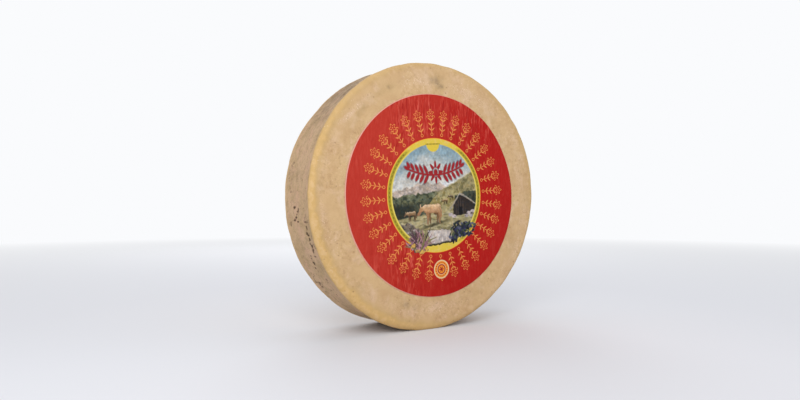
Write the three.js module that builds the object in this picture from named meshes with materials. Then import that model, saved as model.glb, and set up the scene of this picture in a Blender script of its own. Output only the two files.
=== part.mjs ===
// A wheel of mountain cheese standing on its rim, with a round paper label pasted on one face.
// Millimetres, +Z up. The wheel's axis runs along Y and the labelled face looks towards -Y.
// The origin is on the surface that the wheel stands on, straight under its middle.
import * as THREE from 'three';

// Wheel
const WHEEL_RADIUS = 200; // mean radius over the two ridges of the rim
const WHEEL_THICKNESS = 95; // from face to face
const EDGE_ALONG_AXIS = 7; // each edge is rounded over this much of the thickness
const EDGE_ACROSS_FACE = 8; // and over this much of the face
const HEEL_HOLLOW = 3; // how far the heel sinks in between the ridges

// Young cheese settles a little out of round on the shelf. Angles are turned from +X towards +Z.
const OVAL_SWELL = 2.9; // added to the radius on the long axis and taken off on the short one
const OVAL_ANGLE = THREE.MathUtils.degToRad(34.5);
const LOBE_SWELL = 0.8; // the same for three shallow lobes
const LOBE_ANGLE = THREE.MathUtils.degToRad(15.4);
const FOOT_FLAT = 1.6; // how much of the rim is pressed flat where the wheel stands

// Label
const LABEL_RADIUS = 151;
const LABEL_THICKNESS = 0.3;
const LABEL_RIGHT = 1.6; // from the wheel's axis to the label's middle
const LABEL_UP = -0.3;
const PASTE_GAP = 0.1; // paste between the paper and the rind

// Facets
const AROUND_WHEEL = 96;
const AROUND_LABEL = 72;
const EDGE_STEPS = 5;
const HEEL_STEPS = 8;

const AXIS_HEIGHT = WHEEL_RADIUS - FOOT_FLAT;

// A quarter of an ellipse from the flat face out to the ridge, seen across the wheel's axis.
function edgePoints() {
  const faceRadius = WHEEL_RADIUS - EDGE_ACROSS_FACE;
  const ridge = WHEEL_THICKNESS / 2 - EDGE_ALONG_AXIS;
  return Array.from({ length: EDGE_STEPS + 1 }, (_, step) => {
    const turn = (step / EDGE_STEPS) * (Math.PI / 2);
    const radius = faceRadius + EDGE_ACROSS_FACE * Math.sin(turn);
    const height = ridge + EDGE_ALONG_AXIS * Math.cos(turn);
    return new THREE.Vector2(radius, height);
  });
}

// The heel between the two ridges, a shallow parabola that is deepest halfway.
function heelPoints() {
  const ridge = WHEEL_THICKNESS / 2 - EDGE_ALONG_AXIS;
  return Array.from({ length: HEEL_STEPS - 1 }, (_, step) => {
    const across = (2 * (step + 1)) / HEEL_STEPS - 1;
    const radius = WHEEL_RADIUS - HEEL_HOLLOW * (1 - across * across);
    return new THREE.Vector2(radius, across * ridge);
  });
}

// The closed half section, from the axis at the front face to the axis at the back face.
function wheelProfile() {
  const backEdge = edgePoints().reverse();
  const frontEdge = edgePoints().map(({ x, y }) => new THREE.Vector2(x, -y));
  const half = WHEEL_THICKNESS / 2;
  return [
    new THREE.Vector2(0, -half),
    ...frontEdge,
    ...heelPoints(),
    ...backEdge,
    new THREE.Vector2(0, half),
  ];
}

// Swells the round shape into an oval with three lobes, then presses the foot flat.
function settle(geometry) {
  const position = geometry.getAttribute('position');
  const point = new THREE.Vector3();
  for (let i = 0; i < position.count; i += 1) {
    point.fromBufferAttribute(position, i);
    const angle = Math.atan2(point.z, point.x);
    const oval = OVAL_SWELL * Math.cos(2 * (angle - OVAL_ANGLE));
    const lobes = LOBE_SWELL * Math.cos(3 * (angle - LOBE_ANGLE));
    const swell = 1 + (oval + lobes) / WHEEL_RADIUS;
    point.set(point.x * swell, point.y, Math.max(point.z * swell, -AXIS_HEIGHT));
    position.setXYZ(i, point.x, point.y, point.z);
  }
  geometry.computeVertexNormals();
}

function makeWheel() {
  const geometry = new THREE.LatheGeometry(wheelProfile(), AROUND_WHEEL);
  settle(geometry);
  const rind = new THREE.MeshStandardMaterial({ color: 0xd2b288, roughness: 0.8, metalness: 0 });
  const wheel = new THREE.Mesh(geometry, rind);
  wheel.name = 'cheese_wheel';
  return wheel;
}

function makeLabel() {
  const half = LABEL_THICKNESS / 2;
  const profile = [
    new THREE.Vector2(0, -half),
    new THREE.Vector2(LABEL_RADIUS, -half),
    new THREE.Vector2(LABEL_RADIUS, half),
    new THREE.Vector2(0, half),
  ];
  const geometry = new THREE.LatheGeometry(profile, AROUND_LABEL);
  const paper = new THREE.MeshStandardMaterial({ color: 0xbe3c32, roughness: 0.6, metalness: 0 });
  const label = new THREE.Mesh(geometry, paper);
  label.name = 'paper_label';
  label.position.set(LABEL_RIGHT, -(WHEEL_THICKNESS / 2 + PASTE_GAP + half), LABEL_UP);
  return label;
}

const cheese = new THREE.Group();
cheese.position.z = AXIS_HEIGHT;
cheese.add(makeWheel(), makeLabel());

export default cheese;
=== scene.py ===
"""A wheel of mountain cheese standing on its rim, with a round paper label pasted on one face.

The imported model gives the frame. The rind and the label are fine surfaces worked out with numpy, dressed
with procedural finishes, and set on a pale floor in soft light. Lengths are in metres, except inside the
finishes and the label's artwork, where they are in millimetres.
"""
import logging
import math
from collections.abc import Mapping, Sequence
from dataclasses import dataclass, field
from enum import Enum
from typing import Any

import bpy
import numpy as np
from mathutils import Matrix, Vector


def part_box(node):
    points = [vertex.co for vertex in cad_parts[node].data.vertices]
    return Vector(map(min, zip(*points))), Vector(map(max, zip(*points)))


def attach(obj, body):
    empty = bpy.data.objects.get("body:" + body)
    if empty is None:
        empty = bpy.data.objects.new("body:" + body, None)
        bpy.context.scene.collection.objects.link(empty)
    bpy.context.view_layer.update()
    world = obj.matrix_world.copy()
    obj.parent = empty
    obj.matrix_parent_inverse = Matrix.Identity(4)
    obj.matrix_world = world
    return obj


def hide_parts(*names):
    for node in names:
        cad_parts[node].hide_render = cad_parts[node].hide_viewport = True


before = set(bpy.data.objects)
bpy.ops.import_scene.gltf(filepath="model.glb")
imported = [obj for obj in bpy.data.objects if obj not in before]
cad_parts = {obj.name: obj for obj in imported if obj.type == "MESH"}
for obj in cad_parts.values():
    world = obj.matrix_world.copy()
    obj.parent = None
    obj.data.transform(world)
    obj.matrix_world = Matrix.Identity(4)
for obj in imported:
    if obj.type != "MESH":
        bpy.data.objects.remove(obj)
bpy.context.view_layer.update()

LOG = logging.getLogger("cheese")
MM = 0.001
TAU = 2 * math.pi
Array = np.ndarray
Colour = tuple[float, float, float, float]


def tint(red: float, green: float, blue: float) -> Colour:
    """Turns a display colour, 0 to 255, into the linear colour that shaders and attributes take."""
    linear = srgb_to_linear(np.array([red, green, blue]) / 255)
    return (float(linear[0]), float(linear[1]), float(linear[2]), 1.0)


def srgb_to_linear(display: Array) -> Array:
    """Undoes the display curve: a straight toe, then a power of 2.4."""
    return np.where(display <= 0.04045, display / 12.92, ((display + 0.055) / 1.055) ** 2.4)


def ramp(value: Array, low: float, high: float) -> Array:
    """Rises smoothly from 0 at low to 1 at high, as 3t^2 - 2t^3 of the share t of the way."""
    share = np.clip((value - low) / (high - low), 0, 1)
    return share * share * (3 - 2 * share)


def turn_between(first: Array, second: float) -> Array:
    """Gives the shorter turn from the second angle to the first ones, all in degrees."""
    return np.mod(first - second + 180, 360) - 180


@dataclass(frozen=True)
class Lumps:
    """Smooth random heights over space, from -1 to 1.

    Random numbers sit at the corners of a cubic lattice, and a point takes the blend of its cell's eight
    corners by the smooth ramp of its place in the cell.

    Args:
        seed: Seed of the random numbers.
        size: Distance between the lattice's corners, in the points' own unit.
        octaves: Number of layers, each half as large and half as high as the one before.
    """

    seed: int
    size: float
    octaves: int = 1

    def at(self, points: Array) -> Array:
        """Adds the layers up.

        Args:
            points: Places, with x, y and z in the last column.

        Returns:
            One height for each place.
        """
        total, height, size = np.zeros(points.shape[:-1]), 1.0, self.size
        for layer in range(self.octaves):
            total += height * self._layer(points / size, self.seed + layer)
            height, size = height / 2, size / 2
        return total / (2 - 2 * height)

    @staticmethod
    def _layer(points: Array, seed: int) -> Array:
        """Blends one lattice of random numbers.

        Args:
            points: Places in units of the lattice.
            seed: Seed of this lattice.

        Returns:
            One height for each place.
        """
        side = 32
        lattice = np.random.default_rng(seed).uniform(-1, 1, (side, side, side))
        cell = np.floor(points).astype(int)
        share = points - cell
        share = share * share * (3 - 2 * share)
        total = np.zeros(points.shape[:-1])
        for corner in np.ndindex(2, 2, 2):
            weight = np.prod(np.where(corner, share, 1 - share), axis=-1)
            i, j, k = np.moveaxis((cell + corner) % side, -1, 0)
            total += weight * lattice[i, j, k]
        return total


def put_mesh(name: str, points: Array, faces: Array, marks: Mapping[str, Array]) -> bpy.types.Object:
    """Makes a smooth-shaded mesh object at the origin.

    Args:
        name: The piece's name.
        points: One row of x, y and z for each vertex.
        faces: One row of four vertex numbers for each face; a triangle repeats its last one.
        marks: Attributes by name, with one number or one red, green and blue for each vertex.

    Returns:
        The new object, linked to the scene.
    """
    mesh = bpy.data.meshes.new(name)
    triangle = faces[:, 2] == faces[:, 3]
    mesh.from_pydata(points, [], [*faces[~triangle].tolist(), *faces[triangle, :3].tolist()])
    mesh.shade_smooth()
    for key, value in marks.items():
        if value.ndim == 1:
            mesh.attributes.new(key, "FLOAT", "POINT").data.foreach_set("value", value.astype("f4"))
        else:
            opaque = np.concatenate([value, np.ones((len(value), 1))], axis=1)
            colours = mesh.attributes.new(key, "FLOAT_COLOR", "POINT")
            colours.data.foreach_set("color", opaque.astype("f4").ravel())
    mesh.update()
    piece = bpy.data.objects.new(name, mesh)
    bpy.context.collection.objects.link(piece)
    return piece


# --- shader maths ---------------------------------------------------------------------------------


class Signal:
    """A number inside a material, on which Python's operators add Math nodes."""

    def __init__(self, nodes: "Nodes", socket: bpy.types.NodeSocket) -> None:
        """Keeps the node tree and the socket that gives the number."""
        self.nodes, self.socket = nodes, socket

    def maths(self, operation: str, *others: "Signal | float", clamp: bool = False) -> "Signal":
        """Adds one Math node.

        Args:
            operation: The Math node's operation.
            *others: Its second and third inputs.
            clamp: Whether the result is held between 0 and 1.

        Returns:
            The node's result.
        """
        settings = {"operation": operation, "use_clamp": clamp}
        inputs = dict(enumerate((self, *others)))
        return self.nodes.signal("ShaderNodeMath", settings, inputs)

    def _reflected(self, operation: str, first: float) -> "Signal":
        """Adds one Math node with a plain number first."""
        inputs = {0: first, 1: self}
        return self.nodes.signal("ShaderNodeMath", {"operation": operation}, inputs)

    def __add__(self, other: "Signal | float") -> "Signal":
        """Gives self + other."""
        return self.maths("ADD", other)

    def __mul__(self, other: "Signal | float") -> "Signal":
        """Gives self * other."""
        return self.maths("MULTIPLY", other)

    __radd__, __rmul__ = __add__, __mul__

    def __sub__(self, other: "Signal | float") -> "Signal":
        """Gives self - other."""
        return self.maths("SUBTRACT", other)

    def __rsub__(self, other: float) -> "Signal":
        """Gives other - self."""
        return self._reflected("SUBTRACT", other)

    def __truediv__(self, other: "Signal | float") -> "Signal":
        """Gives self / other."""
        return self.maths("DIVIDE", other)

    def __abs__(self) -> "Signal":
        """Gives the number without its sign."""
        return self.maths("ABSOLUTE")

    def __or__(self, other: "Signal | float") -> "Signal":
        """Joins two shapes, as the smaller of their distances."""
        return self.maths("MINIMUM", other)

    def above(self, low: float, high: float) -> "Signal":
        """Rises straight from 0 at low to 1 at high, and may fall if high is under low."""
        return ((self - low) / (high - low)).maths("MULTIPLY", 1.0, clamp=True)

    def within(self, soft: float) -> "Signal":
        """Is 1 where this distance is negative and 0 where it is positive, over a band soft wide."""
        return self.above(soft / 2, -soft / 2)

    def hypot(self, other: "Signal") -> "Signal":
        """Gives the root of the sum of two squares."""
        return (self * self + other * other).maths("SQRT")


class Nodes:
    """Fills one node tree."""

    def __init__(self, tree: bpy.types.NodeTree) -> None:
        """Empties the tree."""
        self.tree = tree
        tree.nodes.clear()

    def node(self, kind: str, settings: Mapping[str, Any], inputs: Mapping[Any, Any]) -> bpy.types.Node:
        """Adds any node.

        Args:
            kind: The node's type.
            settings: Its own settings, set first.
            inputs: Values or links by socket name or number.

        Returns:
            The new node.
        """
        node = self.tree.nodes.new(kind)
        for key, value in settings.items():
            setattr(node, key, value)
        for key, value in inputs.items():
            if isinstance(value, Signal):
                value = value.socket
            if isinstance(value, bpy.types.NodeSocket):
                self.tree.links.new(value, node.inputs[key])
            else:
                node.inputs[key].default_value = value
        return node

    def signal(
        self, kind: str, settings: Mapping[str, Any], inputs: Mapping[Any, Any], out: "str | int" = 0
    ) -> Signal:
        """Adds any node and gives one of its outputs as a number."""
        return Signal(self, self.node(kind, settings, inputs).outputs[out])


class Recipe(Nodes):
    """Builds one material out of nodes."""

    def __init__(self, name: str) -> None:
        """Starts an empty material.

        Args:
            name: The material's name.
        """
        self.material = bpy.data.materials.new(name)
        self.material.use_nodes = True
        super().__init__(self.material.node_tree)

    def place(self) -> bpy.types.NodeSocket:
        """Gives the place on the piece, in the object's own metres."""
        return self.node("ShaderNodeTexCoord", {}, {}).outputs["Object"]

    def axes(self) -> list[Signal]:
        """Gives the place on the piece as three numbers, in metres."""
        split = self.node("ShaderNodeSeparateXYZ", {}, {0: self.place()})
        return [Signal(self, axis) for axis in split.outputs]

    def mark(self, name: str) -> Signal:
        """Reads one of the mesh's attributes as a number."""
        return self.signal("ShaderNodeAttribute", {"attribute_name": name}, {}, "Fac")

    def painted(self, name: str) -> bpy.types.NodeSocket:
        """Reads one of the mesh's attributes as a colour."""
        return self.node("ShaderNodeAttribute", {"attribute_name": name}, {}).outputs["Color"]

    def noise(
        self, place: Any, size: float, detail: float = 2.0, rough: float = 0.5, warp: float = 0.0
    ) -> Signal:
        """Adds a noise texture.

        Args:
            place: The place to read it at.
            size: Rough size of its lumps, in millimetres.
            detail: Number of finer layers.
            rough: Strength of each finer layer.
            warp: How far the pattern is bent by itself.

        Returns:
            The noise, about 0.5 on average.
        """
        inputs = {"Vector": place, "Scale": 1 / (size * MM), "Detail": detail, "Roughness": rough}
        return self.signal("ShaderNodeTexNoise", {}, {**inputs, "Distortion": warp})

    def spots(self, place: Any, size: float) -> Signal:
        """Gives the distance to the nearest of many scattered points, in shares of their spacing size."""
        inputs = {"Vector": place, "Scale": 1 / (size * MM), "Randomness": 1.0}
        return self.signal("ShaderNodeTexVoronoi", {}, inputs, "Distance")

    def stretched(self, place: Any, scale: Sequence[float]) -> bpy.types.NodeSocket:
        """Squeezes a place along the axes, so that a pattern read there is drawn out."""
        return self.node("ShaderNodeMapping", {}, {"Vector": place, "Scale": tuple(scale)}).outputs[0]

    def mix(self, first: Any, second: Any, share: "Signal | float") -> bpy.types.NodeSocket:
        """Blends two colours by a share from 0 to 1, through the node's sixth and seventh sockets."""
        inputs = {0: share, 6: first, 7: second}
        return self.node("ShaderNodeMix", {"data_type": "RGBA"}, inputs).outputs[2]

    def bump(self, height: Signal, depth: float, strength: float) -> bpy.types.NodeSocket:
        """Turns a height into a normal, depth metres for each unit of height."""
        inputs = {"Height": height, "Distance": depth, "Strength": strength}
        return self.node("ShaderNodeBump", {}, inputs).outputs[0]

    def finish(self, **sockets: Any) -> bpy.types.Material:
        """Adds the shader and the output.

        Args:
            **sockets: The shader's values or links, with an underscore for each space in a socket's name.

        Returns:
            The finished material.
        """
        named = {key.replace("_", " "): value for key, value in sockets.items()}
        shader = self.node("ShaderNodeBsdfPrincipled", {}, named)
        self.node("ShaderNodeOutputMaterial", {}, {"Surface": shader.outputs[0]})
        return self.material


# --- the wheel ------------------------------------------------------------------------------------


@dataclass(frozen=True)
class Rind:
    """The wheel's dry natural rind, in millimetres and display colours."""

    face: Colour = tint(206, 173, 128)
    tan: Colour = tint(193, 157, 114)
    bloom: Colour = tint(220, 189, 158)
    smudge: Colour = tint(146, 124, 94)
    # The darkest heel colour below lays smudges, and a faint painted shade low on the heel's left near the
    # foot.
    soot_and_shade: Colour = tint(112, 92, 70)
    fleck: Colour = tint(228, 204, 174)
    olive: Colour = tint(172, 144, 98)
    # The band round the edges: straw and butter, partly wear from rubbing and partly painted highlight, and
    # cream as painted highlight where the band is strongest; cream is also the heel's pale grain.
    butter: Colour = tint(209, 170, 106)
    straw: Colour = tint(192, 159, 102)
    cream: Colour = tint(216, 181, 130)
    heel: Colour = tint(199, 167, 133)
    heel_dark: Colour = tint(177, 149, 110)
    heel_rose: Colour = tint(204, 165, 137)
    heel_pore: Colour = tint(122, 98, 68)
    crust: Colour = tint(66, 46, 26)
    speck: Colour = tint(150, 114, 76)

    def make(self) -> bpy.types.Material:
        """Lays the rind's colours over each other, from the face out to the crusty pits.

        Returns:
            The rind's material.
        """
        recipe = Recipe("rind")
        skin = Skin(recipe)
        heel, edge, pits, grime_and_shade = (recipe.mark(name) for name in ("heel", "edge", "pits", "grime_and_shade"))
        # The band round the edges is partly wear from rubbing and partly painted highlight, stronger on the
        # left and the front edge, where the light falls.
        rubbed_and_highlit = (edge * (skin.mottle * 0.8 + skin.cloud * 0.4 + 0.35)).above(0.04, 0.85)
        sown = recipe.noise(skin.place, 30).above(0.5, 0.62)
        specks = recipe.spots(skin.place, 7.5).above(0.2, 0.1) * sown
        # The heel's dark patches: smudges, and a faint painted shade low on the left near the foot.
        side = recipe.mix(self.heel_colour(skin), self.soot_and_shade, grime_and_shade * (skin.mottle + 0.3) * 0.7)
        stain = recipe.mix(self.olive, self.smudge, grime_and_shade.above(0.4, 0.85))
        stained = grime_and_shade * (1 - heel) * (skin.mottle * 0.7 + skin.grain * 0.6).above(0.3, 0.8)
        bright = recipe.noise(skin.place, 38).above(0.55, 0.66) * 0.5 + skin.frost
        flecks = (recipe.spots(skin.place, 4.2).above(0.24, 0.14) * bright).maths("MINIMUM", 1.0)
        crusty = (pits * (skin.grain + 0.5)).above(0.16, 0.62)
        colour = recipe.mix(self.face_colour(skin), side, heel)
        colour = recipe.mix(colour, self.ridge_colour(skin, edge), rubbed_and_highlit * 0.88)
        colour = recipe.mix(colour, stain, stained)
        colour = recipe.mix(colour, self.speck, specks * 0.6)
        colour = recipe.mix(colour, self.fleck, flecks * 0.75)
        colour = recipe.mix(colour, self.crust, crusty * 0.88)
        rough = 0.74 + skin.grain * 0.16 - rubbed_and_highlit * 0.16
        relief = skin.grain * 0.3 + skin.mottle * 0.6 + skin.dust * 0.12 - specks * 0.4 - pits * 0.6
        normal = recipe.bump(relief, 0.9 * MM, 0.55)
        return recipe.finish(Base_Color=colour, Roughness=rough, Normal=normal, Specular_IOR_Level=0.3)

    def face_colour(self, skin: "Skin") -> bpy.types.NodeSocket:
        """Colours the faces: warm beige with tan clouds, pale bloom, frosty patches and fine mottling.

        Args:
            skin: The rind's shared patterns.

        Returns:
            The colour.
        """
        recipe = skin.recipe
        clouds = (skin.cloud * 0.5 + skin.mottle * 0.5).above(0.42, 0.62)
        pale = recipe.noise(skin.place, 24, 3, 0.6, 0.4).above(0.53, 0.68)
        powder = skin.grain + skin.dust
        fine = recipe.noise(skin.place, 5.0, 3, 0.7, 0.3)
        patchy = recipe.noise(skin.place, 34, 2, 0.5).above(0.38, 0.6)
        colour = recipe.mix(self.face, self.tan, clouds * 0.8)
        colour = recipe.mix(colour, self.bloom, pale * 0.5)
        colour = recipe.mix(colour, self.bloom, skin.frost * powder.above(0.85, 1.15))
        colour = recipe.mix(colour, self.smudge, skin.frost * powder.above(0.95, 0.7) * 0.35)
        colour = recipe.mix(colour, self.tan, skin.grain.above(0.54, 0.74) * 0.4)
        colour = recipe.mix(colour, self.speck, fine.above(0.52, 0.7) * patchy * 0.38)
        return recipe.mix(colour, self.bloom, fine.above(0.46, 0.3) * patchy * 0.48)

    def heel_colour(self, skin: "Skin") -> bpy.types.NodeSocket:
        """Colours the heel: greyish tan with rosy blotches, and faint lines left by the mould's hoop.

        Args:
            skin: The rind's shared patterns.

        Returns:
            The colour.
        """
        recipe = skin.recipe
        lines = recipe.noise(recipe.stretched(skin.place, (0.22, 1.0, 0.22)), 4.5, 3, 0.6, 0.4)
        rosy = recipe.noise(skin.place, 19, 3, 0.6).above(0.5, 0.66)
        pored = recipe.noise(skin.place, 14, 2).above(0.46, 0.6)
        pores = recipe.spots(skin.place, 3.4).above(0.26, 0.12) * pored
        clouds = (skin.mottle * 0.5 + skin.cloud * 0.5).above(0.42, 0.62)
        grainy = (skin.grain * 0.6 + skin.mottle * 0.5).above(0.56, 0.7)
        colour = recipe.mix(self.heel, self.heel_dark, clouds)
        colour = recipe.mix(colour, self.heel_rose, rosy * 0.7)
        colour = recipe.mix(colour, self.smudge, lines.above(0.52, 0.72) * 0.4)
        colour = recipe.mix(colour, self.smudge, grainy * 0.45)
        colour = recipe.mix(colour, self.cream, skin.grain.above(0.47, 0.34) * 0.35)
        return recipe.mix(colour, self.heel_pore, pores * 0.6)

    def ridge_colour(self, skin: "Skin", edge: Signal) -> bpy.types.NodeSocket:
        """Colours the band round the edges, partly wear from rubbing and partly painted highlight: straw,
        then butter, and cream as a painted highlight where the band is strongest.

        Args:
            skin: The rind's shared patterns.
            edge: How far a place is on the band of rubbing and painted highlight, 0 to 1.

        Returns:
            The colour.
        """
        recipe = skin.recipe
        rub_and_highlight = recipe.noise(skin.place, 8, 3, 0.6, 0.5)
        tone = recipe.mix(self.straw, self.butter, (edge * (rub_and_highlight + 0.45)).above(0.45, 0.95))
        return recipe.mix(tone, self.cream, (edge * rub_and_highlight).above(0.42, 0.62) * 0.8)


class Skin:
    """The patterns that every layer of the rind shares, from broad clouds to fine dust."""

    def __init__(self, recipe: Recipe) -> None:
        """Adds the patterns.

        Args:
            recipe: The rind's recipe.
        """
        self.recipe = recipe
        self.place = recipe.place()
        self.frost = recipe.mark("frost")
        self.cloud = recipe.noise(self.place, 42, 3, 0.55)
        self.mottle = recipe.noise(self.place, 13, 4, 0.65, 0.6)
        self.grain = recipe.noise(self.place, 2.6, 3, 0.65)
        self.dust = recipe.noise(self.place, 1.3, 2, 0.6)


@dataclass(frozen=True)
class CrustRun:
    """A broken run of crusty pits on the heel.

    Args:
        start: Angle of its first pit, in degrees.
        end: Angle of its last pit, in degrees.
        along: Its place along the axis.
        spread: How far its pits stray along the axis.
        pits: Number of pits.
        depth: Depth of the pits, 0 to 1.
    """

    start: float
    end: float
    along: float
    spread: float
    pits: int
    depth: float = 1.0

    def depths(self, angle: Array, along: Array, radius: float, seed: int) -> Array:
        """Scatters round pits over the run.

        Args:
            angle: Angles of the places, in degrees.
            along: Their places along the axis.
            radius: The heel's radius.
            seed: Seed of the scatter.

        Returns:
            Depth of the pits, 0 to 1.
        """
        random = np.random.default_rng(seed)
        total = np.zeros(angle.shape)
        for share in (np.arange(self.pits) + random.uniform(-0.3, 0.3, self.pits)) / max(self.pits - 1, 1):
            turn = self.start + share * (self.end - self.start)
            middle = self.along + self.spread * random.uniform(-1, 1)
            long, wide = random.uniform(1.1, 2.2) * MM, random.uniform(1.6, 4.6) * MM
            gap = np.radians(turn_between(angle, turn)) * radius
            away = np.hypot(gap / long, (along - middle) / wide)
            total = np.maximum(total, random.uniform(0.6, 1.0) * ramp(away, 1.5, 0.5))
        return total * self.depth


@dataclass(frozen=True)
class Patch:
    """A soft patch on the rind.

    Args:
        angle: Where its middle is, in degrees.
        out: Its middle's distance from the axis.
        wide: Half its width, in degrees.
        deep: Half its depth along the radius.
        strength: Its strength in the middle.
    """

    angle: float
    out: float
    wide: float
    deep: float
    strength: float


@dataclass(frozen=True)
class Dent:
    """A shallow dent in a ridge: angle and half width in degrees, and depth, negative for a bulge."""

    angle: float
    wide: float
    deep: float


@dataclass
class CheeseWheel:
    """The whole wheel: two flat faces, rounded edges and a heel that sinks in between two ridges.

    Args:
        half: Half the thickness.
        radius: Mean radius over the two ridges.
        edge_along_axis: How much of the thickness each edge is rounded over.
        edge_across_face: How much of the face it is rounded over.
        heel_hollow: How far the heel sinks in.
        oval_swell: Added to the radius on the oval's long axis and taken off on the short one.
        oval_angle: Turn of the long axis from the wheel's right side upwards.
        lobe_swell: The same for three shallow lobes.
        lobe_angle: Turn of the first lobe.
        foot_flat: How much of the rim is pressed flat where the wheel stands.
        label_reach: Distance from the axis where the front face's close rows start.
        around: Number of points round the axis.
        broad: Broad waves of the rind.
        middle: Its middling lumps.
        small: Its small lumps.
        finish: The rind's colours.
        crust: Runs of crusty pits on the heel.
        stray_dips: Number of small dips scattered along the heel.
        smudge_spots: Dark smudges on the faces.
        frost_spots: Floury pale patches on the faces.
        heel_spots: Dark patches on the heel: smudges, and a faint painted shade low on the left near the
            foot.
        dents: Dents and bulges of the back ridge.
    """

    half: float
    radius: float = 0.2
    edge_along_axis: float = 7 * MM
    edge_across_face: float = 8 * MM
    heel_hollow: float = 3 * MM
    oval_swell: float = 2.9 * MM
    oval_angle: float = math.radians(34.5)
    lobe_swell: float = 0.8 * MM
    lobe_angle: float = math.radians(15.4)
    foot_flat: float = 1.6 * MM
    label_reach: float = 0.146
    around: int = 600
    broad: Lumps = Lumps(11, 0.075)
    middle: Lumps = Lumps(23, 0.02, 2)
    small: Lumps = Lumps(37, 0.0055, 2)
    finish: Rind = field(default_factory=Rind)
    crust: tuple[CrustRun, ...] = (
        CrustRun(185.5, 191.5, 0.010, 0.0085, 7),
        CrustRun(191.5, 205.5, -0.0187, 0.0025, 11),
        CrustRun(206.0, 213.0, 0.000, 0.004, 6, 0.8),
        CrustRun(170.0, 179.0, 0.022, 0.012, 9, 0.45),
        CrustRun(129.0, 137.0, -0.014, 0.007, 9, 0.6),
        CrustRun(112.0, 150.0, 0.022, 0.014, 14, 0.45),
        CrustRun(217.0, 232.0, 0.010, 0.022, 12, 0.55),
        CrustRun(20.0, 34.0, -0.015, 0.012, 12, 0.8),
        CrustRun(318.0, 335.0, 0.012, 0.016, 12, 0.7),
    )
    stray_dips: int = 70
    smudge_spots: tuple[Patch, ...] = (
        Patch(89, 0.172, 5, 0.009, 1.0),
        Patch(86, 0.163, 4, 0.006, 0.7),
        Patch(117, 0.172, 6, 0.007, 0.65),
        Patch(129, 0.171, 9, 0.006, 0.5),
        Patch(142, 0.168, 7, 0.005, 0.45),
        Patch(254, 0.167, 6, 0.007, 0.7),
        Patch(226, 0.180, 4, 0.005, 0.5),
        Patch(332, 0.174, 6, 0.007, 0.4),
        Patch(20, 0.180, 5, 0.006, 0.35),
        Patch(300, 0.170, 7, 0.006, 0.35),
        Patch(176, 0.185, 4, 0.004, 0.4),
        Patch(0, 0.187, 4, 0.006, 0.6),
        Patch(12, 0.186, 3, 0.004, 0.4),
        Patch(335, 0.166, 5, 0.005, 0.4),
        Patch(48, 0.166, 6, 0.005, 0.45),
    )
    frost_spots: tuple[Patch, ...] = (
        Patch(100, 0.171, 10, 0.008, 0.9),
        Patch(72, 0.168, 13, 0.009, 1.0),
        Patch(55, 0.175, 8, 0.008, 0.6),
        Patch(140, 0.177, 13, 0.004, 0.9),
        Patch(190, 0.184, 9, 0.006, 0.6),
        Patch(331, 0.182, 9, 0.008, 0.9),
        Patch(270, 0.168, 15, 0.009, 0.9),
        Patch(245, 0.175, 8, 0.006, 0.5),
        Patch(310, 0.184, 7, 0.007, 0.5),
        Patch(10, 0.172, 10, 0.008, 0.6),
        Patch(352, 0.180, 7, 0.007, 0.7),
        Patch(30, 0.180, 7, 0.006, 0.5),
    )
    heel_spots: tuple[Patch, ...] = (
        Patch(126, 0.199, 19, 0.02, 1.9),
        # Faint painted shade low on the heel's left, near where the wheel stands.
        Patch(240, 0.199, 12, 0.02, 0.1),
        Patch(172, 0.199, 4, 0.02, 0.2),
        Patch(70, 0.199, 12, 0.02, 0.4),
        Patch(330, 0.199, 14, 0.02, 0.35),
        Patch(15, 0.199, 8, 0.02, 0.35),
    )
    dents: tuple[Dent, ...] = (Dent(139, 15, 2.4 * MM), Dent(108, 9, -2.0 * MM))

    @property
    def axis_height(self) -> float:
        """Height of the wheel's axis above the surface it stands on."""
        return self.radius - self.foot_flat

    def rows(self) -> tuple[Array, Array, Array, Array]:
        """Follows the half section from the front face's middle to the back face's middle.

        The faces are straight, the edges are quarter ellipses, and the heel is a curve that sinks by
        1 - |t|^3 of its hollow, with t from -1 to 1 between the ridges.

        Returns:
            By row, the radius, the place along the axis, and the radial and the axial share of the
            direction outwards.
        """
        flat = self.radius - self.edge_across_face
        ridge = self.half - self.edge_along_axis
        under_label = np.array([0.03, 0.06, 0.09, 0.12, 0.138])
        shown = np.linspace(self.label_reach, flat, 24, endpoint=False)
        front = np.concatenate([under_label, shown])
        back = np.concatenate([np.linspace(flat, 0.1, 44)[1:], np.linspace(0.1, 0.006, 18)[1:]])
        turn = np.linspace(0, math.pi / 2, 13)
        across = np.linspace(-1, 1, 41)[1:-1]
        bulge = flat + self.edge_across_face * np.sin(turn)
        rise = ridge + self.edge_along_axis * np.cos(turn)
        heel = self.radius - self.heel_hollow * (1 - np.abs(across) ** 3)
        radius = np.concatenate([front, bulge, heel, bulge[::-1], back])
        front_face, back_face = np.full(len(front), -self.half), np.full(len(back), self.half)
        along = np.concatenate([front_face, -rise, across * ridge, rise[::-1], back_face])
        at_front, at_heel, at_back = np.zeros(len(front)), np.zeros(len(heel)), np.zeros(len(back))
        out = np.concatenate([at_front, np.sin(turn), at_heel + 1, np.sin(turn[::-1]), at_back])
        axial = np.concatenate([at_front - 1, -np.cos(turn), at_heel, np.cos(turn[::-1]), at_back + 1])
        return radius, along, out, axial

    def under_label(self, distance: Array) -> Array:
        """Is 1 well under the label and 0 outside it, by distance from the wheel's axis."""
        return ramp(distance, 0.156, 0.149)

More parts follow.
